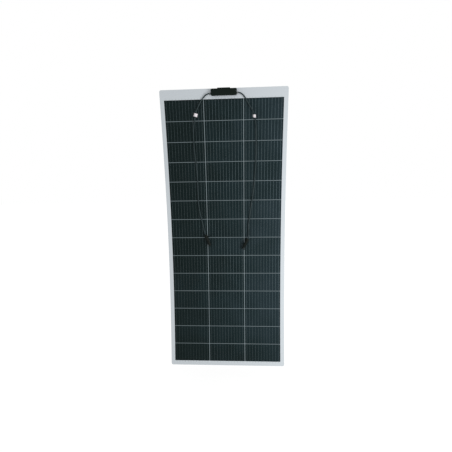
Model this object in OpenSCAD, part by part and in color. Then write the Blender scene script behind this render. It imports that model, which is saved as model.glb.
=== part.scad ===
// Flexible solar sheet: a laminated sheet of half-cut cells with a slim junction box
// on its front face and two leads that hang down the front to a plug and a socket.
// +Z runs up the sheet, the cells face -Y, and the origin is the middle of the back face.

/* [Cells] */
// Width of one half cell
cell_w = 210; // [182:1:210]
// Height of one half cell
cell_h = 105; // [91:1:105]
// Gap between neighbouring cells
cell_gap = 2.5; // [2:0.5:3]
// Soldered ribbons across one cell
busbars = 12; // [5:1:12]
// From the side of a cell to its first ribbon
ribbon_inset = 11.2; // [8:0.2:14]

/* [Sheet] */
// Plain margin beside the cells
side_margin = 22.5; // [15:0.5:40]
// Plain margin above the cells, under the junction box
top_margin = 51; // [48:0.5:70]
// Plain margin below the cells
bottom_margin = 26.5; // [15:0.5:40]
// Radius of the sheet's four corners
corner_r = 10; // [6:1:14]
// Thickness of the glass-fibre backing board
board_t = 1.6; // [1:0.1:2]
// Thickness of the bonding layer that holds the cells
encapsulant_t = 1.2; // [1.1:0.1:1.6]
// Thickness of the clear front film
film_t = 0.2; // [0.1:0.05:0.3]
// Thickness of a cell
cell_t = 0.2; // [0.15:0.05:0.25]

/* [Bend] */
// Angle that each of the six bend lines has at rest
rest_bow = 2; // [0:0.5:4]
// Half of the clear gap at each bend line
bend_gap = 0.2; // [0.15:0.05:0.4]

/* [Junction box] */
// Length of the box across the sheet
box_l = 136; // [130:1:140]
// Height of the box up the sheet
box_h = 32; // [28:1:33]
// Radius of the box corners
box_r = 7; // [5:0.5:8]
// Wall thickness of the box
box_wall = 2.4; // [2.2:0.1:2.8]
// Sideways place of the box on the sheet
box_x = 2.5; // [0:0.5:4]

/* [Leads] */
// Outer diameter of a lead
lead_d = 6; // [5.5:0.1:6]
// Width and height of the tag on the left lead
left_tag_w = 19.5; // [17:0.5:22]
left_tag_h = 16.5; // [14:0.5:20]
// Side of the square tag on the right lead
right_tag_w = 15; // [13:0.5:18]

/* [Connectors] */
// Length of a connector from its cable entry to its tip
conn_l = 68; // [66:1:70]
// Turn of the socket away from straight down
socket_turn = 22; // [18:1:26]
// Turn of the plug away from straight down
plug_turn = 25; // [20:1:28]

/* [Hidden] */

columns = 3;
rows = 14;
pitch_x = cell_w + cell_gap;
pitch_z = cell_h + cell_gap;
cells_top = 7*pitch_z - cell_gap/2;
z_top = cells_top + top_margin;
z_bottom = -cells_top - bottom_margin;
sheet_w = columns*cell_w + (columns - 1)*cell_gap + 2*side_margin;
sheet_t = board_t + encapsulant_t + film_t;
hinge_y = -sheet_t/2;

// layer planes, counted from the back face at y = 0 towards the front at -y
y_board = -board_t;
y_film = -board_t - encapsulant_t;
y_face = -sheet_t;
cell_y0 = y_board - 0.4;          // back of the cells
cell_y1 = cell_y0 - cell_t;       // front of the cells
ribbon_t = 0.2;
ribbon_w = 0.6;
bus_w = 5;

// bend lines, from the top down
bend_z = [5*pitch_z, 3*pitch_z, pitch_z, -pitch_z, -3*pitch_z, -5*pitch_z];

// junction box levels above the front face
pad_t = 1;
box_z = z_top - 20;
y_base = y_face - pad_t;          // underside of the base
floor_t = 1.5;
y_rim = y_face - 12;              // rim where the lid sits
y_lid = y_rim - 3.5;              // outside of the lid
lead_y = y_face - 6.5;            // height at which the leads leave the box
lead_z = box_z - 5.75;            // they leave it below the middle of its ends
bush_r = 3.75;
bush_out = 8;
lead_r = lead_d/2;
inner_l = box_l - 2*box_wall;
tap_x = [-43.5, -13.5, 16.5, 46.5];

// routes of the leads on the flat sheet, from inside the box to the connector: x, y, z
h0 = y_face - 3.3;                // a lead that lies on the sheet
conn_y = y_face - 9.8;            // axis of a connector that lies on the sheet
route_left = [
  [-56, lead_y, lead_z], [-66, lead_y, lead_z], [-78, lead_y, lead_z], [-94, -8.6, 769.5],
  [-111, -7, 753.5], [-125, h0, 733], [-137, h0, 711],
  [-146, h0, 694], [-151, h0, 674.5], [-156, h0, 658], [-162, h0, 627], [-167, h0, 580],
  [-167, h0, 537.5],
  [-165, h0, 490], [-160, h0, 430], [-156, h0, 375], [-154.5, h0, 322.5],
  [-154, h0, 265], [-154, h0, 210], [-148, h0, 155], [-138.5, h0, 107.5],
  [-130.5, -7, 72], [-124, -10.5, 38], [-118, conn_y, 18]];
route_right = [
  [64, lead_y, lead_z], [74, lead_y, lead_z], [86, lead_y, lead_z], [102, -8.6, 767.5],
  [118, -7, 747.5], [133, h0, 722], [146, h0, 702],
  [157, h0, 682], [163.5, h0, 661], [168, h0, 643], [172, h0, 610], [174, h0, 575],
  [175, h0, 537.5],
  [175, h0, 480], [171, h0, 400], [165.5, h0, 322.5],
  [159, h0, 260], [150.5, h0, 205], [143, h0, 155], [137, h0, 107.5],
  [132, -7, 72], [133, -9.4, 38], [132.5, -12, 13], [126.5, conn_y, -6]];
step_l = 20;

function cr(a, b, c, d, t) = 0.5*(2*b + (c - a)*t + (2*a - 5*b + 4*c - d)*t*t + (3*b - a - 3*c + d)*t*t*t);
function route_at(R, i, t) = cr(R[max(i - 1, 0)], R[i], R[i + 1], R[min(i + 2, len(R) - 1)], t);
function steps(R, i) = max(1, round(norm(R[i + 1] - R[i])/step_l));
function route_points(R, a, b) = [for (i = [a:b - 1]) for (k = [0:steps(R, i) - 1]) route_at(R, i, k/steps(R, i)), R[b]];
function unit(v) = v/norm(v);
function tangent(P, i) = unit(P[min(i + 1, len(P) - 1)] - P[max(i - 1, 0)]);
// an end that meets a bend line is cut level and stops 0.5 mm short of the line
function level_end(p, t, s) = p + t*(s*0.5/abs(t[2]));
function ring(p, t, r, level, n) =
  let (nv = unit([0, 1, 0] - t[1]*t), bv = level ? [1/abs(t[2])*sign(-t[2]), 0, 0] : cross(t, nv), av = level ? [0, 1, 0] : nv)
  [for (j = [0:n - 1]) p + r*(cos(360*j/n)*av + sin(360*j/n)*bv)];

module tube(R, a, b, cut_a, cut_b, r = lead_r, n = 10) {
  P0 = route_points(R, a, b);
  m = len(P0);
  T = [for (i = [0:m - 1]) tangent(P0, i)];
  P = [for (i = [0:m - 1]) (i == 0 && cut_a) ? level_end(P0[i], T[i], 1) : (i == m - 1 && cut_b) ? level_end(P0[i], T[i], -1) : P0[i]];
  pts = [for (i = [0:m - 1]) each ring(P[i], T[i], r, (i == 0 && cut_a) || (i == m - 1 && cut_b), n)];
  faces = concat(
    [[for (j = [0:n - 1]) j]],
    [[for (j = [n - 1:-1:0]) (m - 1)*n + j]],
    [for (i = [0:m - 2]) for (j = [0:n - 1]) each [
      [i*n + j, (i + 1)*n + j, (i + 1)*n + (j + 1)%n],
      [i*n + j, (i + 1)*n + (j + 1)%n, i*n + (j + 1)%n]]]);
  polyhedron(pts, faces, convexity = 6);
}

// ---- placing -------------------------------------------------------------
module turn_at(z, a) { translate([0, hinge_y, z]) rotate([a, 0, 0]) translate([0, -hinge_y, -z]) children(); }
module place(k) {
  a = rest_bow;
  if (k == 4) children();
  else if (k == 3) turn_at(bend_z[2], a) children();
  else if (k == 2) turn_at(bend_z[2], a) turn_at(bend_z[1], a) children();
  else if (k == 1) turn_at(bend_z[2], a) turn_at(bend_z[1], a) turn_at(bend_z[0], a) children();
  else if (k == 5) turn_at(bend_z[3], -a) children();
  else if (k == 6) turn_at(bend_z[3], -a) turn_at(bend_z[4], -a) children();
  else turn_at(bend_z[3], -a) turn_at(bend_z[4], -a) turn_at(bend_z[5], -a) children();
}

function seg_hi(k) = k == 1 ? z_top : bend_z[k - 2] - bend_gap;
function seg_lo(k) = k == 7 ? z_bottom : bend_z[k - 1] + bend_gap;

// a box given by its lowest and highest corners
module block(lo, hi) { translate(lo) cube(hi - lo); }

// ---- sheet layers --------------------------------------------------------
module outline(k) {
  w = sheet_w/2;
  hi = seg_hi(k);
  lo = seg_lo(k);
  if (k > 1 && k < 7) translate([-w, lo]) square([2*w, hi - lo]);
  else {
    z_end = k == 1 ? hi - corner_r : lo + corner_r;
    z_in = k == 1 ? lo : hi;
    translate([-w, min(z_end, z_in)]) square([2*w, abs(z_in - z_end)]);
    translate([-w + corner_r, min(z_end, k == 1 ? hi : lo)]) square([2*(w - corner_r), corner_r]);
    for (s = [-1, 1]) translate([s*(w - corner_r), z_end]) circle(r = corner_r, $fn = 48);
  }
}

module slab(k, y_hi, y_lo) { translate([0, y_hi, 0]) rotate([90, 0, 0]) linear_extrude(y_hi - y_lo) outline(k); }

module cell_blocks(k) {
  for (r = [2*k - 1, 2*k]) for (c = [-1:1])
    block([c*pitch_x - cell_w/2, cell_y1, (7 - r)*pitch_z + cell_gap/2],
          [c*pitch_x + cell_w/2, cell_y0, (8 - r)*pitch_z - cell_gap/2]);
}

front_y1 = cell_y1 - ribbon_t;    // front of the ribbons on the cells
back_y0 = y_board;                // back of the return ribbons
back_y1 = y_board - ribbon_t;

module ribbon_blocks(k) {
  // fine ribbons along each cell, running 1 mm past it towards the next cell
  for (r = [2*k - 1, 2*k]) for (c = [-1:1]) for (i = [0:busbars - 1]) {
    x = c*pitch_x - cell_w/2 + ribbon_inset + i*(cell_w - 2*ribbon_inset)/(busbars - 1);
    z_lo = (7 - r)*pitch_z + cell_gap/2 - (r == rows ? 11 : 1);
    z_hi = (8 - r)*pitch_z - cell_gap/2 + (r == 1 ? 11 : 0);
    block([x - ribbon_w/2, front_y1, z_lo], [x + ribbon_w/2, cell_y1, z_hi]);
  }
  // two return ribbons behind the cells
  r_lo = k == 7 ? -cells_top - 11 : seg_lo(k);
  for (x = [-11, 130])
    block([x - bus_w/2, back_y1, r_lo], [x + bus_w/2, back_y0, k == 1 ? (x < 0 ? box_z + 0.15 : 775) : seg_hi(k)]);
  if (k == 1) {
    t = cells_top;
    // string ends above the cells
    block([-317, front_y1, t + 6], [-107, cell_y1, t + 11]);
    block([-105, front_y1, t + 6], [317, cell_y1, t + 11]);
    block([-112, front_y1, t + 6], [-107, cell_y1, 775]);
    block([-112, front_y1, 770], [box_x + tap_x[0] + bus_w/2, cell_y1, 775]);
    block([box_x + tap_x[0] - bus_w/2, front_y1, 770], [box_x + tap_x[0] + bus_w/2, cell_y1, box_z + 0.15]);
    block([box_x + tap_x[2] - bus_w/2, front_y1, t + 6], [box_x + tap_x[2] + bus_w/2, cell_y1, box_z + 0.15]);
    // return from the far end of the last string
    block([box_x + tap_x[3] - bus_w/2, back_y1, 770], [132.5, back_y0, 775]);
    block([box_x + tap_x[3] - bus_w/2, back_y1, 770], [box_x + tap_x[3] + bus_w/2, back_y0, box_z + 0.15]);
    // tabs that rise through the film into the box
    for (i = [0:3])
      block([box_x + tap_x[i] - bus_w/2, y_base - floor_t - 1.5, box_z - 0.15],
            [box_x + tap_x[i] + bus_w/2, i % 2 == 0 ? cell_y1 : back_y0, box_z + 0.15]);
  }
  if (k == 7) {
    b = -cells_top;
    // string ends below the cells, and their links to the return ribbons
    block([-317, front_y1, b - 11], [105, cell_y1, b - 6]);
    block([107, front_y1, b - 11], [317, cell_y1, b - 6]);
    for (x = [-11, 130]) block([x - bus_w/2, front_y1, b - 11], [x + bus_w/2, back_y0, b - 10.7]);
  }
}

module front_film(k) {
  color([0.85, 0.88, 0.92, 0.35]) place(k) difference() {
    slab(k, y_film, y_face);
    if (k == 1) for (i = [0:3])
      block([box_x + tap_x[i] - 3, y_face - 1, box_z - 0.6], [box_x + tap_x[i] + 3, y_film + 1, box_z + 0.6]);
  }
}
module encapsulant(k) {
  color([0.92, 0.93, 0.93]) place(k) difference() {
    slab(k, y_board, y_film);
    cell_blocks(k);
    ribbon_blocks(k);
  }
}
module cells(k) { color([0.06, 0.08, 0.13]) place(k) cell_blocks(k); }
module cell_ribbons(k) { color([0.78, 0.79, 0.8]) place(k) ribbon_blocks(k); }
module back_board(k) { color([0.93, 0.93, 0.91]) place(k) slab(k, 0, y_board); }

// ---- junction box --------------------------------------------------------
// rounded rectangle, centred, drawn in x and z
module rounded(l, h, r) {
  square([l - 2*r, h], center = true);
  square([l, h - 2*r], center = true);
  for (x = [-1, 1]) for (z = [-1, 1]) translate([x*(l/2 - r), z*(h/2 - r)]) circle(r = r, $fn = 48);
}
module box_slab(y_hi, y_lo, inset) {
  translate([box_x, y_hi, box_z]) rotate([90, 0, 0]) linear_extrude(y_hi - y_lo)
    rounded(box_l - 2*inset, box_h - 2*inset, max(1, box_r - inset));
}
groove_in = 0.7;
groove_w = 1;
groove_t = 0.8;

module adhesive_pad() {
  color([0.25, 0.26, 0.27]) place(1) difference() {
    box_slab(y_face, y_base, 1.5);
    block([box_x - 52, y_base - 1, box_z - 4], [box_x + 52, y_face + 1, box_z + 4]);
  }
}

module junction_box_base() {
  color([0.07, 0.07, 0.075]) place(1) difference() {
    union() {
      difference() {
        box_slab(y_base, y_rim, 0);
        box_slab(y_base - floor_t, y_rim - 1, box_wall);
      }
      // posts under the terminal plates
      for (i = [0:3]) for (s = [-1, 1])
        block([box_x + tap_x[i] - 5, y_base - floor_t - 1.5, box_z + s*4 - 1], [box_x + tap_x[i] + 5, y_base - floor_t + 0.5, box_z + s*4 + 1]);
    }
    // groove for the gasket
    difference() {
      box_slab(y_rim + groove_t, y_rim - 1, groove_in);
      box_slab(y_rim + groove_t + 1, y_rim - 2, groove_in + groove_w);
    }
    // slots for the ribbon tabs
    for (i = [0:3])
      block([box_x + tap_x[i] - 3, y_base - floor_t - 0.2, box_z - 0.75], [box_x + tap_x[i] + 3, y_base + 1, box_z + 0.75]);
    // holes for the leads
    for (s = [-1, 1])
      translate([box_x + s*(box_l/2 - box_wall/2), lead_y, lead_z]) rotate([0, 90, 0]) cylinder(h = box_wall + 2, r = bush_r + 0.05, center = true, $fn = 48);
  }
}

tab_l = 67;
module junction_box_lid() {
  color([0.08, 0.08, 0.085]) place(1) {
    difference() {
      box_slab(y_rim, y_lid, 0);
      box_slab(y_rim + 1, y_lid + 1.5, box_wall);
    }
    // lip that drops inside the base
    difference() {
      box_slab(y_rim + 2, y_lid + 1, box_wall + 0.2);
      box_slab(y_rim + 3, y_lid + 1.5, box_wall + 1.4);
    }
    // finger tab along the upper side
    block([box_x - tab_l/2, y_lid, box_z + box_h/2 - 0.5], [box_x + tab_l/2, y_rim, box_z + box_h/2 + 3.25]);
    block([box_x - tab_l/2, y_rim - 0.5, box_z + box_h/2 + 0.3], [box_x + tab_l/2, y_rim + 3, box_z + box_h/2 + 3.25]);
  }
}

module lid_gasket() {
  color([0.35, 0.36, 0.37]) place(1) difference() {
    box_slab(y_rim + groove_t, y_rim, groove_in);
    box_slab(y_rim + groove_t + 1, y_rim - 1, groove_in + groove_w);
  }
}

plate_y0 = y_base - floor_t - 1.5;
plate_y1 = plate_y0 - 1;
module terminal_plates() {
  color([0.8, 0.78, 0.72]) place(1) {
    for (i = [0:3]) block([box_x + tap_x[i] - 7, plate_y1, box_z - 6], [box_x + tap_x[i] + 7, plate_y0, box_z + 6]);
    // upright tongues that the leads are crimped to
    block([-56, lead_y - 2, lead_z - 3], [-55, plate_y0, box_z]);
    block([-56, plate_y1, box_z - 6], [-41, plate_y0, box_z]);
    block([63, lead_y - 2, lead_z - 3], [64, plate_y0, box_z]);
    block([49, plate_y1, box_z - 6], [64, plate_y0, box_z]);
  }
}

module bypass_diodes() {
  color([0.12, 0.12, 0.13]) place(1) for (i = [0:2]) {
    x = box_x + (tap_x[i] + tap_x[i + 1])/2;
    block([x - 5, plate_y1 - 4, box_z - 4], [x + 5, plate_y0 - 0.5, box_z + 4]);
    block([x - 13, plate_y1 - 0.8, box_z - 1.5], [x + 13, plate_y1, box_z + 1.5]);
  }
}

module strain_reliefs() {
  color([0.3, 0.3, 0.31]) place(1) for (s = [-1, 1])
    translate([box_x + s*box_l/2, lead_y, lead_z]) rotate([0, s*90, 0]) difference() {
      union() {
        translate([0, 0, -box_wall]) cylinder(h = box_wall + 0.5, r = bush_r, $fn = 48);
        cylinder(h = 2, r = 4.7, $fn = 48);
        translate([0, 0, 2]) cylinder(h = bush_out - 2, r1 = 4.2, r2 = 3.6, $fn = 48);
      }
      translate([0, 0, -box_wall - 1]) cylinder(h = bush_out + box_wall + 2, r = lead_r + 0.05, $fn = 48);
    }
}

// ---- leads and tags ------------------------------------------------------
module lead(R, a, b, k, cut_a, cut_b) { color([0.05, 0.05, 0.055]) place(k) tube(R, a, b, cut_a, cut_b); }
module lead_left_1() { lead(route_left, 0, 12, 1, false, true); }
module lead_left_2() { lead(route_left, 12, 16, 2, true, true); }
module lead_left_3() { lead(route_left, 16, 20, 3, true, true); }
module lead_left_4() { lead(route_left, 20, 23, 4, true, false); }
module lead_right_1() { lead(route_right, 0, 12, 1, false, true); }
module lead_right_2() { lead(route_right, 12, 15, 2, true, true); }
module lead_right_3() { lead(route_right, 15, 19, 3, true, true); }
module lead_right_4() { lead(route_right, 19, 23, 4, true, false); }

// a folded tag: two plies that meet at the edges and bulge over the lead
module tag(p, w, h, plate_turn, lead_turn) {
  s = w/2;
  place(1) translate([p[0], y_face - 0.2, p[2]]) difference() {
    rotate([0, plate_turn, 0]) translate([0, 0, -h/2]) linear_extrude(h)
      polygon([[-s, 0], [s, 0], [s, -0.8], [4.4, -7.3], [-4.4, -7.3], [-s, -0.8]]);
    rotate([0, lead_turn, 0]) translate([0, p[1] - y_face + 0.2, -20]) cylinder(h = 40, r = lead_r + 0.4, $fn = 32);
  }
}
module lead_tag_left() { color([0.93, 0.92, 0.93]) tag(route_left[8], left_tag_w, left_tag_h, 15.5, 15.5); }
module lead_tag_right() { color([0.93, 0.92, 0.93]) tag(route_right[8], right_tag_w, right_tag_w, -5, -16.8); }

// ---- connectors ----------------------------------------------------------
// each is drawn along +z from its cable entry at 0 to its tip, then laid on the sheet
module lay(p, turn) { translate(p) rotate([0, 180 - turn, 0]) children(); }
module at_socket() { lay(route_left[23], socket_turn) children(); }
module at_plug() { lay(route_right[23], -plug_turn) children(); }

module gland_nut() {
  difference() {
    union() {
      cylinder(h = 5, r1 = 5.4, r2 = 8.2, $fn = 48);
      translate([0, 0, 5]) cylinder(h = 15, r = 9.2, $fn = 48);
      for (i = [0:11]) rotate([0, 0, 30*i + 7]) translate([8.9, 0, 12.5]) cube([1.2, 1.6, 12.4], center = true);
    }
    translate([0, 0, -1]) cylinder(h = 10, r = lead_r + 0.05, $fn = 48);
    translate([0, 0, 8]) cylinder(h = 13, r = 7.1, $fn = 48);
  }
}
module rear_barrel() {
  translate([0, 0, 10]) cylinder(h = 11, r = 7, $fn = 48);
  translate([0, 0, 20.2]) cylinder(h = 3.8, r = 9.2, $fn = 48);
  translate([0, 0, 23]) cylinder(h = 4, r = 8, $fn = 48);
}

module socket_nut() { color([0.06, 0.06, 0.065]) at_socket() gland_nut(); }
module socket_housing() {
  color([0.06, 0.06, 0.065]) at_socket() difference() {
    union() {
      rear_barrel();
      translate([0, 0, 26]) cylinder(h = 26, r = 7.6, $fn = 48);
      for (i = [0:3]) translate([0, 0, 30 + 5*i]) cylinder(h = 2, r = 8.2, $fn = 48);
      translate([0, 0, 50]) cylinder(h = conn_l - 50, r = 9, $fn = 48);
    }
    translate([0, 0, 9]) cylinder(h = 40, r = 2.6, $fn = 48);
    translate([0, 0, 42]) cylinder(h = conn_l, r = 5.2, $fn = 48);
    // side windows that the latches of a plug snap into
    for (s = [-1, 1]) block([s*7.5 - 2.6, -3.2, 53], [s*7.5 + 2.6, 3.2, 60]);
  }
}
module socket_contact() {
  color([0.82, 0.8, 0.74]) at_socket() difference() {
    union() {
      translate([0, 0, 10]) cylinder(h = 44, r = 2.5, $fn = 32);
      translate([0, 0, 43]) cylinder(h = 2, r = 4, $fn = 32);
    }
    translate([0, 0, 38]) cylinder(h = 20, r = 1.6, $fn = 32);
  }
}
module plug_nut() { color([0.06, 0.06, 0.065]) at_plug() gland_nut(); }
module plug_housing() {
  color([0.06, 0.06, 0.065]) at_plug() difference() {
    union() {
      rear_barrel();
      translate([0, 0, 26]) cylinder(h = 14, r = 7.6, $fn = 48);
      for (i = [0:2]) translate([0, 0, 29 + 4*i]) cylinder(h = 2, r = 8.2, $fn = 48);
      block([-8.6, -4, 36], [8.6, 4, 42]);
      translate([0, 0, 38]) cylinder(h = conn_l - 4 - 38, r = 4.9, $fn = 48);
    }
    translate([0, 0, 9]) cylinder(h = 34, r = 2.6, $fn = 48);
    translate([0, 0, 42]) cylinder(h = conn_l, r = 3.6, $fn = 48);
  }
}
module plug_contact() {
  color([0.82, 0.8, 0.74]) at_plug() {
    translate([0, 0, 10]) cylinder(h = 33, r = 2.5, $fn = 32);
    translate([0, 0, 42]) cylinder(h = 16, r = 1.5, $fn = 32);
    translate([0, 0, 42.2]) cylinder(h = 2, r = 3.4, $fn = 32);
  }
}
// spring latch: a flat arm with a hook at its tip
module latch_arm(s) {
  at_plug() mirror([s < 0 ? 1 : 0, 0, 0]) translate([0, 3, 0]) rotate([90, 0, 0]) linear_extrude(6)
    polygon([[6.9, 42.4], [8.5, 42.4], [8.7, 56], [9.9, 59], [8.7, conn_l], [7.5, conn_l], [7.1, 56]]);
}
module plug_latch_outer() { color([0.09, 0.09, 0.095]) latch_arm(-1); }
module plug_latch_inner() { color([0.09, 0.09, 0.095]) latch_arm(1); }

module front_film_1() { front_film(1); }
module encapsulant_1() { encapsulant(1); }
module cells_1() { cells(1); }
module cell_ribbons_1() { cell_ribbons(1); }
module back_board_1() { back_board(1); }
module front_film_2() { front_film(2); }
module encapsulant_2() { encapsulant(2); }
module cells_2() { cells(2); }
module cell_ribbons_2() { cell_ribbons(2); }
module back_board_2() { back_board(2); }
module front_film_3() { front_film(3); }
module encapsulant_3() { encapsulant(3); }
module cells_3() { cells(3); }
module cell_ribbons_3() { cell_ribbons(3); }
module back_board_3() { back_board(3); }
module front_film_4() { front_film(4); }
module encapsulant_4() { encapsulant(4); }
module cells_4() { cells(4); }
module cell_ribbons_4() { cell_ribbons(4); }
module back_board_4() { back_board(4); }
module front_film_5() { front_film(5); }
module encapsulant_5() { encapsulant(5); }
module cells_5() { cells(5); }
module cell_ribbons_5() { cell_ribbons(5); }
module back_board_5() { back_board(5); }
module front_film_6() { front_film(6); }
module encapsulant_6() { encapsulant(6); }
module cells_6() { cells(6); }
module cell_ribbons_6() { cell_ribbons(6); }
module back_board_6() { back_board(6); }
module front_film_7() { front_film(7); }
module encapsulant_7() { encapsulant(7); }
module cells_7() { cells(7); }
module cell_ribbons_7() { cell_ribbons(7); }
module back_board_7() { back_board(7); }

front_film_1();
encapsulant_1();
cells_1();
cell_ribbons_1();
back_board_1();
front_film_2();
encapsulant_2();
cells_2();
cell_ribbons_2();
back_board_2();
front_film_3();
encapsulant_3();
cells_3();
cell_ribbons_3();
back_board_3();
front_film_4();
encapsulant_4();
cells_4();
cell_ribbons_4();
back_board_4();
front_film_5();
encapsulant_5();
cells_5();
cell_ribbons_5();
back_board_5();
front_film_6();
encapsulant_6();
cells_6();
cell_ribbons_6();
back_board_6();
front_film_7();
encapsulant_7();
cells_7();
cell_ribbons_7();
back_board_7();
adhesive_pad();
junction_box_base();
junction_box_lid();
lid_gasket();
terminal_plates();
bypass_diodes();
strain_reliefs();
lead_left_1();
lead_left_2();
lead_left_3();
lead_left_4();
lead_right_1();
lead_right_2();
lead_right_3();
lead_right_4();
lead_tag_left();
lead_tag_right();
socket_housing();
socket_nut();
socket_contact();
plug_housing();
plug_nut();
plug_contact();
plug_latch_outer();
plug_latch_inner();
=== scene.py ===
import bpy, bmesh, math, random
from mathutils import Vector, Matrix, noise


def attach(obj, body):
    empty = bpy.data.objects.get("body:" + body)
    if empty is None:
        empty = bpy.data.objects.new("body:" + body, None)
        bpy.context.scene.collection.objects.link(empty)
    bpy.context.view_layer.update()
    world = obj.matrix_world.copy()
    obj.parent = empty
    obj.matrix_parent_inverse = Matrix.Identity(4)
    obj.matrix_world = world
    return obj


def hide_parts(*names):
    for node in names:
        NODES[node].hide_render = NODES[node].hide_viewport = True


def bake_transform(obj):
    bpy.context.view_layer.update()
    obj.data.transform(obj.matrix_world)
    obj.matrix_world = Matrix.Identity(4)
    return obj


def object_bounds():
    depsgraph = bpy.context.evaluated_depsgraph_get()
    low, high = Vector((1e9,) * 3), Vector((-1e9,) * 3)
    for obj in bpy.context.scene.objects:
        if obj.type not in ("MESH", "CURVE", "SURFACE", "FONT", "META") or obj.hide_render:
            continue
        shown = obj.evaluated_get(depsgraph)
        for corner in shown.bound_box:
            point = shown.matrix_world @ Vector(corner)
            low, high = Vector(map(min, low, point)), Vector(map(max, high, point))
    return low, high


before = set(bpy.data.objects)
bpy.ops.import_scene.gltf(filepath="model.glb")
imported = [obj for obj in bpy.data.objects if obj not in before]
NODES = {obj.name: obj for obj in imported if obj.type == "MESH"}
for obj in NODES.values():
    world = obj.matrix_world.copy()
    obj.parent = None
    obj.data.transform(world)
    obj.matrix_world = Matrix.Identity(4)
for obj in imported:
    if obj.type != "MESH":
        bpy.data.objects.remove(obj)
cad_low, cad_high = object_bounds()

# ------------------------------------------------------------------ the sheet's bend
# Lengths in this part are millimetres on the flat sheet: x across, z up the sheet, y from the
# back face (0) to the front (-3). put() bends them to the rest pose, in metres.
SEG = 215.0
KAPPA = math.radians(2.0) / SEG
BEND_END = 645.0
MID = -1.5
TOP, BOTTOM, HALF_W = 802.25, -777.75, 340.0
PITCH_X, PITCH_Z, CELL_W, CELL_H, GAP = 212.5, 107.5, 210.0, 105.0, 2.5


def line_at(z):
    zc = max(-BEND_END, min(BEND_END, z))
    a = KAPPA * zc
    y = MID - (1 - math.cos(a)) / KAPPA
    h = math.sin(a) / KAPPA
    y -= math.sin(a) * (z - zc)
    h += math.cos(a) * (z - zc)
    return y, h, a


def put(x, y, z):
    cy, cz, a = line_at(z)
    d = y - MID
    return Vector((x, cy + d * math.cos(a), cz + d * math.sin(a))) / 1000


# ------------------------------------------------------------------ camera
camera = bpy.data.objects.new("camera", bpy.data.cameras.new("camera"))
bpy.context.scene.collection.objects.link(camera)
bpy.context.scene.camera = camera
camera.data.sensor_width = 36.0
camera.data.lens = 36.0 * 250 / 452
camera.data.clip_end = 200
rows = [(0.9989256940868183, 0.044022808260093534, -0.014472389093154698),
        (0.008689130006749486, 0.12882960105506108, 0.9916286769308964),
        (0.04551875122292381, -0.9906891168499274, 0.12830867874862062)]
turn = Matrix(rows).transposed()
camera.matrix_world = Matrix.Translation((0.06775051, -1.43915996, 0.25309944)) @ turn.to_4x4()

# ------------------------------------------------------------------ node helpers


class Tree:
    def __init__(self, name):
        self.mat = bpy.data.materials.new(name)
        self.mat.use_nodes = True
        self.t = self.mat.node_tree
        self.bsdf = self.t.nodes["Principled BSDF"]

    def node(self, kind, **values):
        n = self.t.nodes.new(kind)
        for k, v in values.items():
            if k in n.inputs:
                n.inputs[k].default_value = v
            else:
                setattr(n, k, v)
        return n

    def link(self, a, b):
        self.t.links.new(a, b)

    def coord(self, which="Object", scale=(1, 1, 1)):
        c = self.node("ShaderNodeTexCoord")
        m = self.node("ShaderNodeMapping")
        m.inputs["Scale"].default_value = scale
        self.link(c.outputs[which], m.inputs["Vector"])
        return m.outputs["Vector"]

    def noise(self, vector, scale, detail=3.0, rough=0.5):
        n = self.node("ShaderNodeTexNoise")
        n.inputs["Scale"].default_value = scale
        n.inputs["Detail"].default_value = detail
        n.inputs["Roughness"].default_value = rough
        self.link(vector, n.inputs["Vector"])
        return n.outputs["Fac"]

    def ramp(self, fac, stops):
        r = self.node("ShaderNodeValToRGB")
        els = r.color_ramp.elements
        while len(els) > len(stops):
            els.remove(els[-1])
        while len(els) < len(stops):
            els.new(1.0)
        for e, (p, c) in zip(els, stops):
            e.position = p
            e.color = c if len(c) == 4 else (*c, 1)
        self.link(fac, r.inputs["Fac"])
        return r.outputs["Color"]

    def math(self, op, a, b=None, c=None):
        n = self.node("ShaderNodeMath")
        n.operation = op
        for i, v in enumerate((a, b, c)):
            if v is None:
                continue
            if isinstance(v, (int, float)):
                n.inputs[i].default_value = v
            else:
                self.link(v, n.inputs[i])
        return n.outputs[0]

    def mix(self, fac, a, b, mode="MIX"):
        n = self.node("ShaderNodeMix")
        n.data_type = "RGBA"
        n.blend_type = mode
        for i, v in ((0, fac), (6, a), (7, b)):
            if isinstance(v, (int, float)):
                n.inputs[i].default_value = v
            elif isinstance(v, tuple):
                n.inputs[i].default_value = v if len(v) == 4 else (*v, 1)
            else:
                self.link(v, n.inputs[i])
        return n.outputs[2]

    def bump(self, height, strength, distance, normal=None):
        n = self.node("ShaderNodeBump")
        n.inputs["Strength"].default_value = strength
        n.inputs["Distance"].default_value = distance
        self.link(height, n.inputs["Height"])
        if normal is not None:
            self.link(normal, n.inputs["Normal"])
        self.link(n.outputs["Normal"], self.bsdf.inputs["Normal"])
        return n.outputs["Normal"]

    def set(self, **v):
        for k, x in v.items():
            key = {"spec": "Specular IOR Level", "rough": "Roughness", "metal": "Metallic", "coat": "Coat Weight", "coat_rough": "Coat Roughness"}.get(k, k)
            self.bsdf.inputs[key].default_value = x


def grey(v):
    return (v, v, v)


def film_bump(m, uv):
    """The fine dimples embossed in the clear front film."""
    v = m.node("ShaderNodeTexVoronoi")
    v.inputs["Scale"].default_value = 620
    m.link(uv, v.inputs["Vector"])
    return m.bump(v.outputs["Distance"], 0.2, 0.00012)


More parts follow.
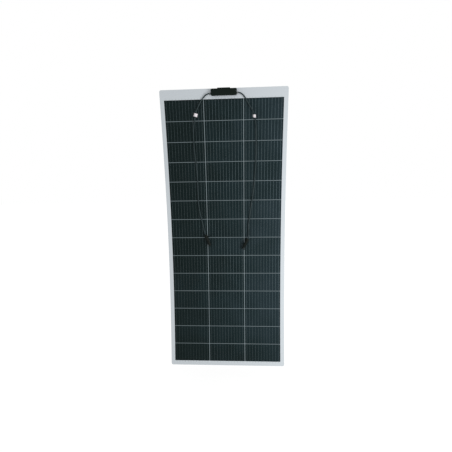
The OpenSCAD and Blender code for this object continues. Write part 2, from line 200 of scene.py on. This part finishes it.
def make_board():
    """White board under the clear film, for the border all round."""
    m = Tree("sheet_white")
    uv = m.coord("UV")
    broad = m.noise(uv, 3.0, 2)
    fine = m.noise(uv, 220.0, 3)
    white = m.ramp(m.math("ADD", m.math("MULTIPLY", broad, 0.7), m.math("MULTIPLY", fine, 0.3)),
                   [(0.3, (0.382, 0.412, 0.436)), (0.7, (0.404, 0.434, 0.456))])
    m.link(white, m.bsdf.inputs["Base Color"])
    m.link(m.ramp(fine, [(0.3, grey(0.36)), (0.7, grey(0.46))]), m.bsdf.inputs["Roughness"])
    m.set(spec=0.25)
    film_bump(m, uv)
    return m.mat


def make_strip_shade():
    """The narrow strips of board between the cells, given painted shade for the shade of the cell edges: darker painted
    shade between rows than between columns.
    """
    m = Tree("strip_painted_shade")
    uv = m.coord("UV")
    broad = m.noise(uv, 3.0, 2)
    # painted shade: the gaps get a much darker colour than the white board
    shade_between_columns = m.ramp(broad, [(0.3, (0.158, 0.194, 0.207)), (0.7, (0.186, 0.225, 0.239))])
    shade_between_rows = m.ramp(broad, [(0.3, (0.112, 0.140, 0.150)), (0.7, (0.132, 0.162, 0.173))])
    parts = m.node("ShaderNodeSeparateXYZ")
    m.link(uv, parts.inputs[0])
    off = m.math("ABSOLUTE", m.math("SUBTRACT", m.math("ABSOLUTE", parts.outputs[0]), 0.10625))
    m.link(m.mix(m.math("LESS_THAN", off, 0.0016), shade_between_rows, shade_between_columns), m.bsdf.inputs["Base Color"])
    m.link(m.ramp(broad, [(0.3, grey(0.38)), (0.7, grey(0.46))]), m.bsdf.inputs["Roughness"])
    m.set(spec=0.2)
    film_bump(m, uv)
    return m.mat


def make_back():
    """Plain white back: a fine weave, with the cells just showing as slightly raised oblongs, and painted shade in the
    grooves between them.
    """
    m = Tree("back_white")
    uv = m.coord("UV")
    broad = m.noise(uv, 2.5, 3)
    fine = m.noise(uv, 500.0, 2)
    brick = m.node("ShaderNodeTexBrick")
    brick.offset, brick.squash = 0.0, 1.0
    for k, v in (("Scale", 1.0), ("Brick Width", 0.2125), ("Row Height", 0.1075), ("Mortar Size", 0.0014), ("Mortar Smooth", 0.4)):
        brick.inputs[k].default_value = v
    shift = m.node("ShaderNodeMapping")
    shift.inputs["Location"].default_value = (0.10625, 0.0, 0.0)
    m.link(uv, shift.inputs["Vector"])
    m.link(shift.outputs["Vector"], brick.inputs["Vector"])
    parts = m.node("ShaderNodeSeparateXYZ")
    m.link(uv, parts.inputs[0])
    ax = m.math("ABSOLUTE", parts.outputs[0])
    az = m.math("ABSOLUTE", parts.outputs[1])
    inside = m.math("MULTIPLY", m.math("LESS_THAN", ax, 0.3180), m.math("LESS_THAN", az, 0.7520))
    line = m.math("MULTIPLY", brick.outputs["Fac"], inside)
    white = m.ramp(m.math("ADD", m.math("MULTIPLY", broad, 0.7), m.math("MULTIPLY", fine, 0.3)),
                   [(0.3, (0.60, 0.605, 0.60)), (0.7, (0.66, 0.665, 0.655))])
    # painted shade: the grooves between the raised oblongs are mixed towards a darker grey
    m.link(m.mix(m.math("MULTIPLY", line, 0.5), white, (0.54, 0.545, 0.54)), m.bsdf.inputs["Base Color"])
    m.link(m.ramp(fine, [(0.3, grey(0.5)), (0.7, grey(0.6))]), m.bsdf.inputs["Roughness"])
    m.set(spec=0.25)
    raised = m.math("SUBTRACT", inside, line)
    m.bump(m.math("ADD", m.math("MULTIPLY", raised, 1.0), m.math("MULTIPLY", fine, 0.15)), 0.35, 0.0004)
    return m.mat


def make_cell():
    """Blue-black mono silicon under film: tone differs a little from cell to cell, and fine silver fingers run across.
    Painted light makes the cells brighter towards the right; the colour also changes along the sheet, darkest at the
    bottom.
    """
    m = Tree("solar_cell")
    uv = m.coord("UV")
    tone = m.node("ShaderNodeAttribute")
    tone.attribute_name = "tone"
    cloud = m.noise(uv, 9.0, 3)
    parts = m.node("ShaderNodeSeparateXYZ")
    m.link(uv, parts.inputs[0])
    # painted light: brighter towards the right of the sheet, where the key light falls
    side = m.math("MULTIPLY_ADD", parts.outputs[0], 0.9, 0.0)
    # the colour changes along the sheet, darkest at the bottom
    down = m.ramp(m.math("MULTIPLY_ADD", parts.outputs[1], 0.6, 0.5),
                  [(0.06, grey(0.09)), (0.10, grey(0.15)), (0.14, grey(0.27)), (0.19, grey(0.36)), (0.30, grey(0.31)), (0.45, grey(0.23)), (0.62, grey(0.22)), (0.80, grey(0.30)), (0.95, grey(0.27))])
    f = m.math("ADD", m.math("MULTIPLY_ADD", tone.outputs["Fac"], 0.20, side), m.math("MULTIPLY_ADD", cloud, 0.5, down))
    base = m.ramp(f, [(0.26, (0.0004, 0.0044, 0.0038)), (0.44, (0.0015, 0.0061, 0.0061)), (0.62, (0.0033, 0.0098, 0.0109)), (0.81, (0.0067, 0.0146, 0.0175)), (0.97, (0.0098, 0.0186, 0.0228))])
    w = m.node("ShaderNodeTexWave")
    w.wave_type, w.bands_direction, w.wave_profile = "BANDS", "Y", "SIN"
    w.inputs["Scale"].default_value = 2 * math.pi / (20 * 0.0013)
    m.link(uv, w.inputs["Vector"])
    line = m.ramp(w.outputs["Fac"], [(0.90, grey(0.0)), (0.99, grey(1.0))])
    m.link(m.mix(line, base, (0.018, 0.025, 0.028)), m.bsdf.inputs["Base Color"])
    m.link(m.ramp(cloud, [(0.3, grey(0.34)), (0.7, grey(0.42))]), m.bsdf.inputs["Roughness"])
    m.set(spec=0.055)
    film_bump(m, uv)
    return m.mat


def make_ribbon():
    m = Tree("ribbon_tinned")
    uv = m.coord("UV", (1, 1, 1))
    n = m.noise(uv, 300.0, 3)
    parts = m.node("ShaderNodeSeparateXYZ")
    m.link(uv, parts.inputs[0])
    # painted light: the ribbons are darker on the left and brighter towards the right, where the key light falls
    across = m.ramp(m.math("MULTIPLY_ADD", parts.outputs[0], 1.25, 0.5), [(0.26, (0.088, 0.114, 0.122)), (0.48, (0.136, 0.181, 0.197)), (0.76, (0.144, 0.192, 0.210))])
    # darker towards the bottom of the sheet
    down = m.ramp(m.math("MULTIPLY_ADD", parts.outputs[1], 0.6, 0.5), [(0.13, grey(0.62)), (0.26, grey(0.80)), (0.42, grey(0.97)), (0.80, grey(1.0))])
    tin = m.mix(1.0, across, down, "MULTIPLY")
    m.link(m.mix(1.0, tin, m.ramp(n, [(0.3, grey(0.84)), (0.7, grey(1.0))]), "MULTIPLY"), m.bsdf.inputs["Base Color"])
    m.link(m.ramp(n, [(0.3, grey(0.32)), (0.7, grey(0.5))]), m.bsdf.inputs["Roughness"])
    m.set(metal=0.2, spec=0.2)
    m.bump(n, 0.2, 0.0001)
    return m.mat


def make_plastic(name, dark, light, rough=0.5, spec=0.25, grain=1800.0, strength=0.25):
    """Moulded plastic: fine spark texture, a little broad unevenness in gloss."""
    m = Tree(name)
    c = m.coord("Object")
    fine = m.noise(c, grain, 2)
    broad = m.noise(c, 28.0, 3)
    m.link(m.ramp(m.math("ADD", m.math("MULTIPLY", fine, 0.5), m.math("MULTIPLY", broad, 0.5)),
                  [(0.3, dark), (0.7, light)]), m.bsdf.inputs["Base Color"])
    m.link(m.ramp(broad, [(0.3, grey(rough - 0.06)), (0.7, grey(rough + 0.08))]), m.bsdf.inputs["Roughness"])
    m.set(spec=spec)
    m.bump(fine, strength, 0.0001)
    return m.mat


def make_metal(name, dark, light, rough=0.3):
    m = Tree(name)
    c = m.coord("Object", (1, 1, 6))
    fine = m.noise(c, 400.0, 4)
    m.link(m.ramp(fine, [(0.3, dark), (0.7, light)]), m.bsdf.inputs["Base Color"])
    m.link(m.ramp(fine, [(0.3, grey(rough - 0.08)), (0.7, grey(rough + 0.12))]), m.bsdf.inputs["Roughness"])
    m.set(metal=1.0)
    m.bump(fine, 0.1, 0.0001)
    return m.mat


def make_label():
    m = Tree("label_stock")
    uv = m.coord("UV")
    n = m.noise(uv, 900.0, 3)
    broad = m.noise(uv, 60.0, 2)
    m.link(m.ramp(m.math("ADD", m.math("MULTIPLY", n, 0.4), m.math("MULTIPLY", broad, 0.6)),
                  [(0.3, (0.53, 0.495, 0.515)), (0.7, (0.60, 0.565, 0.585))]), m.bsdf.inputs["Base Color"])
    m.link(m.ramp(n, [(0.3, grey(0.4)), (0.7, grey(0.55))]), m.bsdf.inputs["Roughness"])
    m.set(spec=0.3)
    m.bump(n, 0.15, 0.0001)
    return m.mat


M_BOARD, M_STRIP_SHADE, M_BACK, M_CELL, M_RIBBON = make_board(), make_strip_shade(), make_back(), make_cell(), make_ribbon()
M_BOX = make_plastic("box_moulded", (0.0022, 0.0050, 0.0036), (0.0042, 0.0078, 0.0058), 0.52, 0.07)
M_CONN = make_plastic("connector_moulded", (0.0025, 0.0045, 0.0036), (0.0048, 0.0075, 0.0060), 0.42, 0.08, 2400)
M_CABLE = make_plastic("cable_jacket", (0.0150, 0.0245, 0.0262), (0.0215, 0.0330, 0.0355), 0.45, 0.12, 1200, 0.15)
M_BUSH = make_plastic("bush_rubber", (0.085, 0.092, 0.092), (0.11, 0.118, 0.118), 0.6, 0.15)
M_PAD = make_plastic("pad_rubber", (0.030, 0.031, 0.032), (0.045, 0.046, 0.047), 0.7, 0.15)
M_SEAL = make_plastic("seal_silicone", (0.10, 0.105, 0.11), (0.14, 0.145, 0.15), 0.5, 0.3)
M_DIODE = make_plastic("diode_epoxy", (0.010, 0.010, 0.011), (0.018, 0.018, 0.019), 0.35, 0.4)
M_TIN = make_metal("tin_plate", (0.60, 0.59, 0.56), (0.76, 0.75, 0.71), 0.3)
M_LABEL = make_label()

# ------------------------------------------------------------------ mesh helpers


def build(name, verts, faces, material, smooth=True, uvs=None, tones=None):
    mesh = bpy.data.meshes.new(name)
    mesh.from_pydata([tuple(v) for v in verts], [], faces)
    mesh.validate()
    bm = bmesh.new()
    bm.from_mesh(mesh)
    bmesh.ops.recalc_face_normals(bm, faces=bm.faces)
    bm.to_mesh(mesh)
    bm.free()
    if uvs is not None:
        layer = mesh.uv_layers.new(name="flat")
        data = [0.0] * (2 * len(mesh.loops))
        for i, l in enumerate(mesh.loops):
            data[2 * i], data[2 * i + 1] = uvs[l.vertex_index]
        layer.data.foreach_set("uv", data)
    if tones is not None:
        at = mesh.attributes.new("tone", "FLOAT", "POINT")
        at.data.foreach_set("value", tones)
    mesh.materials.append(material)
    mesh.shade_smooth() if smooth else mesh.shade_flat()
    o = bpy.data.objects.new(name, mesh)
    bpy.context.scene.collection.objects.link(o)
    return o


def sharp(o, degrees=30):
    """Edges steeper than this stay crisp on a smooth mesh."""
    bm = bmesh.new()
    bm.from_mesh(o.data)
    lim = math.radians(degrees)
    for e in bm.edges:
        if len(e.link_faces) == 2 and e.calc_face_angle(0) > lim:
            e.smooth = False
    bm.to_mesh(o.data)
    bm.free()
    return o


class Mesh:
    """Vertices and faces gathered in flat-sheet millimetres, with the flat position as UV."""

    def __init__(self):
        self.v, self.f, self.uv, self.tone = [], [], [], []

    def add(self, x, y, z, tone=0.5):
        self.v.append(put(x, y, z))
        self.uv.append((x / 1000, z / 1000))
        self.tone.append(tone)
        return len(self.v) - 1

    def loft(self, rings, cap_a=True, cap_b=True, tone=0.5):
        ids = [[self.add(*p, tone) for p in r] for r in rings]
        n = len(ids[0])
        for a, b in zip(ids, ids[1:]):
            for i in range(n):
                self.f.append((a[i], a[(i + 1) % n], b[(i + 1) % n], b[i]))
        if cap_a:
            self.f.append(tuple(reversed(ids[0])))
        if cap_b:
            self.f.append(tuple(ids[-1]))

    def object(self, name, material, smooth=True, tones=False):
        return build(name, self.v, self.f, material, smooth, self.uv, self.tone if tones else None)


def steps(a, b, size):
    n = max(1, round(abs(b - a) / size))
    return [a + (b - a) * i / n for i in range(n + 1)]


# ------------------------------------------------------------------ the sheet
# Six pieces, each from the middle of one length to the middle of the next, so that every seam
# lies in a gap between cell rows and every bend line is inside a piece.
SEAMS = [TOP, 430.0, 215.0, 0.0, -215.0, -430.0, BOTTOM]
BLENDS = [("sheet_1", "sheet_2", 645, 430), ("sheet_2", "sheet_3", 430, 215), ("sheet_3", "sheet_4", 215, 0),
          ("sheet_4", "sheet_5", 0, -215), ("sheet_5", "sheet_6", -215, -430), ("sheet_6", "sheet_7", -430, -645)]
STANDS = [(1, 2), (3,), (4,), (5,), (6,), (7,)]
CORNER = 10.0
Y_SLAB, Y_CELL, Y_RIB = -2.75, -2.88, -3.0
random.seed(7)


def bend_piece(o, k):
    a, b, z0, z1 = BLENDS[k]
    put(0, MID, z0)
    put(0, MID, z1)
    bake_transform(o)
    return o


def slab_ring(z, shrink=0.0, thin=0.0):
    w = HALF_W - shrink
    e = 0.45
    hi, lo = 0.0 - thin, Y_SLAB + thin
    pts = [(-w + e, hi), (-w + e * 0.3, hi - e * 0.3), (-w, hi - e), (-w, lo + e), (-w + e * 0.3, lo + e * 0.3), (-w + e, lo)]
    hold = w - e - 0.5
    front = [(x, lo) for x in (-hold, -317.5, -212.5, -106.25, 0, 106.25, 212.5, 317.5, hold)]
    right = [(-x, y) for x, y in reversed(pts)]
    back = [(x, hi) for x in (hold, 200, 0, -200, -hold)]
    return [(x, y, z) for x, y in pts + front + right + back]


def slab_rings(hi, lo):
    rings = []
    if hi == TOP:
        for t in (0.02, 0.12, 0.3, 0.55, 1.0):   # corner radius, top edge slightly rounded
            a = math.acos(1 - t)
            d = CORNER * (1 - math.sin(a))
            rings.append(slab_ring(TOP - CORNER * t, d, 0.25 if t < 0.05 else 0.0))
        rings[0] = slab_ring(TOP, CORNER * 0.8, 0.3)
        hi = TOP - CORNER - 1
    tail = []
    if lo == BOTTOM:
        for t in (1.0, 0.55, 0.3, 0.12, 0.02):
            a = math.acos(1 - t)
            d = CORNER * (1 - math.sin(a))
            tail.append(slab_ring(BOTTOM + CORNER * t, d, 0.25 if t < 0.05 else 0.0))
        tail[-1] = slab_ring(BOTTOM, CORNER * 0.8, 0.3)
        lo = BOTTOM + CORNER + 1
    marks = [hi] + [z for z in (751.25, -751.25) if hi > z > lo] + [lo]
    mid = [z for a, b in zip(marks, marks[1:]) for z in steps(a, b, 13.4375)[:-1]] + [lo]
    return rings + [slab_ring(z) for z in mid] + tail


for k in range(6):
    hi, lo = SEAMS[k], SEAMS[k + 1]
    m = Mesh()
    m.loft(slab_rings(hi, lo))
    slab = sharp(m.object(f"laminate_{'abcdef'[k]}", M_BOARD), 35)
    slab.data.materials.append(M_STRIP_SHADE)
    slab.data.materials.append(M_BACK)
    flat = slab.data.uv_layers[0].data
    for f in slab.data.polygons:
        u = sum(flat[i].uv[0] for i in f.loop_indices) / f.loop_total
        v = sum(flat[i].uv[1] for i in f.loop_indices) / f.loop_total
        # front faces inside the cell array show only in the gaps, and get the strip material with its painted shade
        if f.normal.y < -0.8 and abs(u) < 0.3175 and abs(v) < 0.75125:
            f.material_index = 1
        elif f.normal.y > 0.5:
            f.material_index = 2
    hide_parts(*[f"{n}_{i}" for i in STANDS[k] for n in ("front_film", "encapsulant", "back_board")])
    bend_piece(slab, k)

    cells, ribs = Mesh(), Mesh()
    for r in range(1, 15):
        z1 = (8 - r) * PITCH_Z - GAP / 2
        z0 = z1 - CELL_H
        if not (lo - 1 < z0 and z1 < hi + 1):
            continue
        for c in (-1, 0, 1):
            xc = c * PITCH_X
            tone = random.random()
            h = CELL_W / 2
            rings = []
            for z, cut, y in [(z1, 1.2, Y_SLAB + 0.1), (z1, 1.2, Y_CELL)] + [(z, 0, Y_CELL) for z in [z1 - 1.2] + steps(z1 - 13.125, z0 + 13.125, 13.125) + [z0 + 1.2]] + [(z0, 1.2, Y_CELL), (z0, 1.2, Y_SLAB + 0.1)]:
                w = h - cut
                rings.append([(xc - w, Y_SLAB + 0.1, z), (xc - w, y, z), (xc - 52.5, y, z), (xc, y, z), (xc + 52.5, y, z), (xc + w, y, z), (xc + w, Y_SLAB + 0.1, z)])
            ids = [[cells.add(*p, tone) for p in ring] for ring in rings]
            for a, b in zip(ids, ids[1:]):
                for i in range(6):
                    cells.f.append((a[i], a[i + 1], b[i + 1], b[i]))
            for i in range(12):
                x = xc - h + 11.2 + i * (CELL_W - 22.4) / 11
                z_top = z1 - 2.2 + (9 if r == 1 else 0)
                zs = [z_top] + steps(z1 - 13.125, z0 + 13.125, 13.125) + [z0 + 1.0, z0 - (9 if r == 14 else 1.1)]
                ring_ids = []
                for j, z in enumerate(zs):
                    on_cell = z0 <= z <= z1
                    y = Y_RIB if on_cell else Y_SLAB - 0.06
                    b = Y_SLAB + 0.1
                    ring_ids.append([ribs.add(x - 0.4, b, z), ribs.add(x - 0.28, y, z), ribs.add(x + 0.28, y, z), ribs.add(x + 0.4, b, z)])
                for a, b in zip(ring_ids, ring_ids[1:]):
                    for q in range(3):
                        ribs.f.append((a[q], a[q + 1], b[q + 1], b[q]))
                ribs.f.append(tuple(reversed(ring_ids[0])))
                ribs.f.append(tuple(ring_ids[-1]))
    cell = cells.object(f"cells_{'abcdef'[k]}", M_CELL, smooth=False, tones=True)
    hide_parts(*[f"cells_{i}" for i in STANDS[k]])
    bend_piece(cell, k)
    rib = ribs.object(f"ribbons_{'abcdef'[k]}", M_RIBBON, smooth=False)
    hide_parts(*[f"cell_ribbons_{i}" for i in STANDS[k]])
    bend_piece(rib, k)

# ------------------------------------------------------------------ junction box
BX, BZ, BL, BH, BR = 2.5, 782.25, 136.0, 32.0, 7.0
TAPS = (-43.5, -13.5, 16.5, 46.5)
LEAD_Z = 776.5
Y_FACE, Y_BASE, Y_RIM, Y_LID, Y_LEAD = -3.0, -4.0, -15.0, -18.5, -9.5


def rrect(inset, y, n=7):
    l, h, r = BL / 2 - inset, BH / 2 - inset, max(0.6, BR - inset)
    pts = []
    for qx, qz, a0 in ((1, 1, 0), (-1, 1, 90), (-1, -1, 180), (1, -1, 270)):
        for i in range(n + 1):
            a = math.radians(a0 + 90 * i / n)
            pts.append((BX + qx * (l - r) + r * math.cos(a), y, BZ + qz * (h - r) + r * math.sin(a)))
    return pts


def boxed(mesh, lo, hi, bevel):
    """A block with rounded edges, in flat-sheet millimetres."""
    bm = bmesh.new()
    bmesh.ops.create_cube(bm, size=1.0)
    for v in bm.verts:
        for i in range(3):
            v.co[i] = lo[i] if v.co[i] < 0 else hi[i]
    bmesh.ops.bevel(bm, geom=list(bm.edges), offset=bevel, segments=3, profile=0.5, affect="EDGES", clamp_overlap=True)
    base = len(mesh.v)
    bm.verts.index_update()
    for v in bm.verts:
        mesh.add(*v.co)
    for f in bm.faces:
        mesh.f.append(tuple(base + v.index for v in f.verts))
    bm.free()


lid = Mesh()
lid.loft([rrect(i, y) for i, y in [
    (5.4, -18.5), (3.1, -18.5), (2.8, -18.42), (2.6, -18.2), (2.3, -18.12), (1.1, -18.1), (0.55, -17.95), (0.2, -17.6), (0.03, -17.1), (0, -16.6),
    (0, -15.35), (0.12, -15.08), (0.35, -15.0), (2.4, -15.0), (2.62, -14.9), (2.62, -13.3), (2.8, -13.0), (3.5, -13.0), (3.8, -13.3), (3.8, -16.6), (4.2, -17.0), (5.6, -17.0)]])
boxed(lid, (BX - 33.5, -18.4, 796.6), (BX + 33.5, -12.1, 801.45), 0.9)
o = sharp(lid.object("box_lid_shell", M_BOX), 50)
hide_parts("junction_box_lid")
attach(o, "box_lid")

base = Mesh()
base.loft([rrect(i, y) for i, y in [
    (3.0, -4.0), (0.5, -4.0), (0.15, -4.15), (0, -4.5), (0, -14.7), (0.1, -14.92), (0.3, -15.0), (0.7, -15.0), (0.72, -14.2), (1.68, -14.2), (1.7, -15.0),
    (2.2, -15.0), (2.38, -14.85), (2.4, -6.3), (2.7, -5.7), (3.3, -5.5), (6.0, -5.5)]])
for tx in TAPS:
    for s in (-1, 1):
        boxed(base, (BX + tx - 5, -7.0, BZ + s * 4 - 1), (BX + tx + 5, -5.0, BZ + s * 4 + 1), 0.2)
o = sharp(base.object("box_base_shell", M_BOX), 50)
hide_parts("junction_box_base")
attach(o, "sheet_1")

tabs = Mesh()
for tx in TAPS:
    boxed(tabs, (BX + tx - 2.5, -7.0, BZ - 0.2), (BX + tx + 2.5, -2.6, BZ + 0.2), 0.08)
o = tabs.object("ribbon_tabs", M_TIN)
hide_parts("cell_ribbons_1")
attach(o, "sheet_1")


def turned(name, profile, place, material, n=40, extra=None):
    """A turned piece: profile of (distance along, radius), place maps (u, v, w) to the row frame."""
    verts, faces, uvs = [], [], []
    for u, r in profile:
        for i in range(n):
            a = 2 * math.pi * i / n
            verts.append(place(r * math.cos(a), r * math.sin(a), u))
            uvs.append((a * 0.01, u / 1000))
    for j in range(len(profile) - 1):
        for i in range(n):
            faces.append((j * n + i, j * n + (i + 1) % n, (j + 1) * n + (i + 1) % n, (j + 1) * n + i))
    faces.append(tuple(range(n)))
    faces.append(tuple(reversed(range((len(profile) - 1) * n, len(profile) * n))))
    return sharp(build(name, verts, faces, material, True, uvs), 40)


for side, s in (("left", -1), ("right", 1)):
    x0 = BX + s * BL / 2
    prof = [(-2.4, 3.05), (-2.35, 3.75), (-0.05, 3.75), (0.0, 4.5), (0.2, 4.7), (1.6, 4.7), (1.95, 4.4), (2.05, 4.1)]
    for g in range(2):
        u = 2.9 + 2.0 * g
        prof += [(u, 4.1 - 0.2 * g), (u + 0.1, 3.7 - 0.15 * g), (u + 0.8, 3.65 - 0.15 * g), (u + 0.9, 4.0 - 0.2 * g)]
    prof += [(7.4, 3.75), (7.9, 3.5), (8.0, 3.05)]
    o = turned(f"strain_relief_{side}", prof, lambda a, b, u, s=s, x0=x0: put(x0 + s * u, Y_LEAD + a, LEAD_Z + b), M_BUSH)
    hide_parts("strain_reliefs")
    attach(o, "sheet_1")

# ------------------------------------------------------------------ leads
H0 = -6.2
CONN_Y = -12.8
LEFT = [(-56, Y_LEAD, LEAD_Z), (-66, Y_LEAD, LEAD_Z), (-78, Y_LEAD, LEAD_Z), (-94, -8.6, 769.5), (-111, -7, 753.5), (-125, H0, 733),
        (-137, H0, 711), (-146, H0, 694), (-151, H0, 674.5), (-156, H0, 658), (-162, H0, 627), (-167, H0, 580), (-167, H0, 537.5),
        (-165, H0, 490), (-160, H0, 430), (-156, H0, 375), (-154.5, H0, 322.5),
        (-154, H0, 265), (-154, H0, 210), (-148, H0, 155), (-138.5, H0, 107.5), (-130.5, -7, 72), (-124, -10.5, 38), (-118, CONN_Y, 18)]
RIGHT = [(64, Y_LEAD, LEAD_Z), (74, Y_LEAD, LEAD_Z), (86, Y_LEAD, LEAD_Z), (102, -8.6, 767.5), (118, -7, 747.5), (133, H0, 722),
         (146, H0, 702), (157, H0, 682), (163.5, H0, 661), (168, H0, 643), (172, H0, 610), (174, H0, 575), (175, H0, 537.5),
         (175, H0, 480), (171, H0, 400), (165.5, H0, 322.5),
         (159, H0, 260), (150.5, H0, 205), (143, H0, 155), (137, H0, 107.5), (132, -7, 72), (133, -9.4, 38), (132.5, -12, 13), (126.5, CONN_Y, -6)]


def catmull(a, b, c, d, t):
    return tuple(0.5 * (2 * q + (r - p) * t + (2 * p - 5 * q + 4 * r - s) * t * t + (3 * q - p - 3 * r + s) * t ** 3)
                 for p, q, r, s in zip(a, b, c, d))


def route(R):
    out = []
    for i in range(len(R) - 1):
        a, b, c, d = R[max(i - 1, 0)], R[i], R[i + 1], R[min(i + 2, len(R) - 1)]
        n = max(2, round(math.dist(b, c) / 6))
        out += [catmull(a, b, c, d, j / n) for j in range(n)]
    out.append(R[-1])
    return out


def cut_route(points, z_hi, z_lo):
    """The stretch of a route between two heights, with its ends exactly on them."""
    out = []
    for p, q in zip(points, points[1:]):
        def at(z):
            t = (p[2] - z) / (p[2] - q[2])
            return tuple(a + (b - a) * t for a, b in zip(p, q))
        if p[2] > z_hi >= q[2]:
            out.append(at(z_hi))
        if z_lo < q[2] < z_hi:
            out.append(q)
        if p[2] > z_lo >= q[2]:
            out.append(at(z_lo))
            break
    return out


def tube(name, path, radius, material, n=16):
    pts = [put(*p) for p in path]
    verts, faces, uvs = [], [], []
    along = 0.0
    for i, p in enumerate(pts):
        t = (pts[min(i + 1, len(pts) - 1)] - pts[max(i - 1, 0)]).normalized()
        nv = Vector((0, 1, 0)) - t * t.y
        nv.normalize()
        bv = t.cross(nv)
        if i:
            along += (p - pts[i - 1]).length
        for j in range(n):
            a = 2 * math.pi * j / n
            verts.append(p + (nv * math.cos(a) + bv * math.sin(a)) * radius)
            uvs.append((j / n * 0.019, along))
    for i in range(len(pts) - 1):
        for j in range(n):
            faces.append((i * n + j, i * n + (j + 1) % n, (i + 1) * n + (j + 1) % n, (i + 1) * n + j))
    faces.append(tuple(range(n)))
    faces.append(tuple(reversed(range((len(pts) - 1) * n, len(pts) * n))))
    return sharp(build(name, verts, faces, material, True, uvs), 60), pts, along


LEAD_R = 0.003
leads = {}
for side, R, first in (("left", LEFT, 1), ("right", RIGHT, 1)):
    full = route(R)
    pts = full
    z_split = [(1e9, 430.0, 0), (430.0, 215.0, 1), (215.0, -1e9, 2)]
    for j, (hi, lo, k) in enumerate(z_split):
        if j == 0:
            path = [p for p in pts if p[2] > 430] + [cut_route(pts, 431, 430)[-1]]
        elif j == 1:
            path = cut_route(pts, 430, 215)
        else:
            path = [cut_route(pts, 216, 215)[-1]] + [p for p in pts if p[2] < 215]
        o, world, length = tube(f"lead_{side}_{'upper middle lower'.split()[j]}", path, LEAD_R, M_CABLE)
        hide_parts(*[f"lead_{side}_{i}" for i in ((1, 2), (3,), (4,))[j]])
        leads[(side, j)] = (o, world, length)
        bend_piece(o, k)

# ------------------------------------------------------------------ tags
def make_tag(name, at, w, h, plate_turn, lead_turn, clip_corner, curl):
    """A folded label: two plies stuck together at both edges, bulging over the lead."""
    mesh = Mesh()
    ct, st = math.cos(math.radians(plate_turn)), math.sin(math.radians(plate_turn))
    off = math.tan(math.radians(lead_turn - plate_turn))
    sw, sh = w / 2, h / 2
    us = [-1, -0.9, -0.75, -0.6, -0.48, -0.38, -0.3, -0.22, -0.14, -0.07, 0, 0.07, 0.14, 0.22, 0.3, 0.38, 0.48, 0.6, 0.75, 0.9, 1]
    rings = []
    for i in range(13):
        v = 1 - 2 * i / 12
        ring = []
        # the lead's line crosses the tag at its own angle
        lean = off * v * sh
        left, right = -1.0, 1.0
        if clip_corner and v < -0.35:
            left = -1.0 + 0.62 * (-0.35 - v) / 0.65
        row = []
        for u in us:
            uu = left + (right - left) * (u + 1) / 2
            x = uu * sw
            d = (x - lean) / 4.3
            bulge = 6.6 * math.exp(-d * d * d * d * 0.55) if abs(d) < 3 else 0.0
            lift = curl * (abs(v) ** 3) * 0.8 + 0.5 * abs(uu) ** 4 * curl
            row.append((x, bulge, lift))
        for x, bulge, lift in row:                       # front ply, outside
            ring.append((x, Y_FACE - 0.35 - 0.28 - bulge - lift, v * sh))
        for x, bulge, lift in reversed(row):             # back ply, outside
            ring.append((x, Y_FACE - 0.12 - lift * 0.8, v * sh))
        rings.append([(at[0] + x * ct + z * st, y, at[2] - x * st + z * ct) for x, y, z in ring])
    mesh.loft(rings)
    o = sharp(mesh.object(name, M_LABEL), 60)
    return o


for side, at, w, h, pt, lt, clip, curl in (("left", LEFT[8], 19.5, 16.5, 15.5, 15.5, False, 0.4), ("right", RIGHT[8], 15.0, 15.0, -5.0, -15.8, True, 0.6)):
    o = make_tag(f"lead_tag_{side}_label", at, w, h, pt, lt, clip, curl)
    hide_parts(f"lead_tag_{side}")
    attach(o, "sheet_1")
    leads[(side, "tag")] = o

# ------------------------------------------------------------------ materials of the carried-over CAD nodes
CAD_MATS = {
    "adhesive_pad": M_PAD, "lid_gasket": M_SEAL, "terminal_plates": M_TIN, "bypass_diodes": M_DIODE,
    "socket_housing": M_CONN, "socket_nut": M_CONN, "socket_contact": M_TIN,
    "plug_housing": M_CONN, "plug_nut": M_CONN, "plug_contact": M_TIN, "plug_latch_outer": M_CONN, "plug_latch_inner": M_CONN}
for n, mat in CAD_MATS.items():
    ob = NODES[n]
    if not ob.material_slots:
        ob.data.materials.append(mat)
    for s in ob.material_slots:
        s.material = mat


for side, ends in (("left", ["socket_nut", "socket_housing", "socket_contact"]), ("right", ["plug_nut", "plug_housing", "plug_contact", "plug_latch_outer", "plug_latch_inner"])):
    for j in range(3):
        o, world, length = leads[(side, j)]
        gate = put(BX + (-1 if side == "left" else 1) * (BL / 2 + 8), Y_LEAD, LEAD_Z) if j == 0 else world[0]

# ------------------------------------------------------------------ floor, world, lights
floor_z = cad_low.z
size = 30.0
floor = build("floor", [(-size, -size, floor_z), (size, -size, floor_z), (size, size, floor_z), (-size, size, floor_z)], [(0, 1, 2, 3)], None, True)
floor.data.materials.clear()
fm = Tree("floor_pale")
c = fm.coord("Object")
fm.link(fm.ramp(fm.noise(c, 1.5, 2), [(0.3, grey(0.17)), (0.7, grey(0.19))]), fm.bsdf.inputs["Base Color"])
fm.set(rough=0.9, spec=0.1)
fm.bsdf.inputs["Emission Color"].default_value = (1, 1, 1, 1)
fm.bsdf.inputs["Emission Strength"].default_value = 0.84
floor.data.materials.append(fm.mat)

world = bpy.data.worlds.new("world")
bpy.context.scene.world = world
world.use_nodes = True
world.node_tree.nodes["Background"].inputs["Color"].default_value = (1, 1, 1, 1)
world.node_tree.nodes["Background"].inputs["Strength"].default_value = 1.0


def area(name, at, look, size, power):
    l = bpy.data.lights.new(name, "AREA")
    l.shape = "RECTANGLE"
    l.size, l.size_y = size
    l.energy = power
    o = bpy.data.objects.new(name, l)
    bpy.context.scene.collection.objects.link(o)
    d = Vector(look) - Vector(at)
    o.matrix_world = Matrix.Translation(at) @ d.to_track_quat("-Z", "Y").to_matrix().to_4x4()
    return o


area("key_right", (1.45, -1.1, -0.12), (0.15, 0, -0.12), (0.7, 1.2), 27.0)
bpy.context.scene.view_settings.view_transform = "Standard"
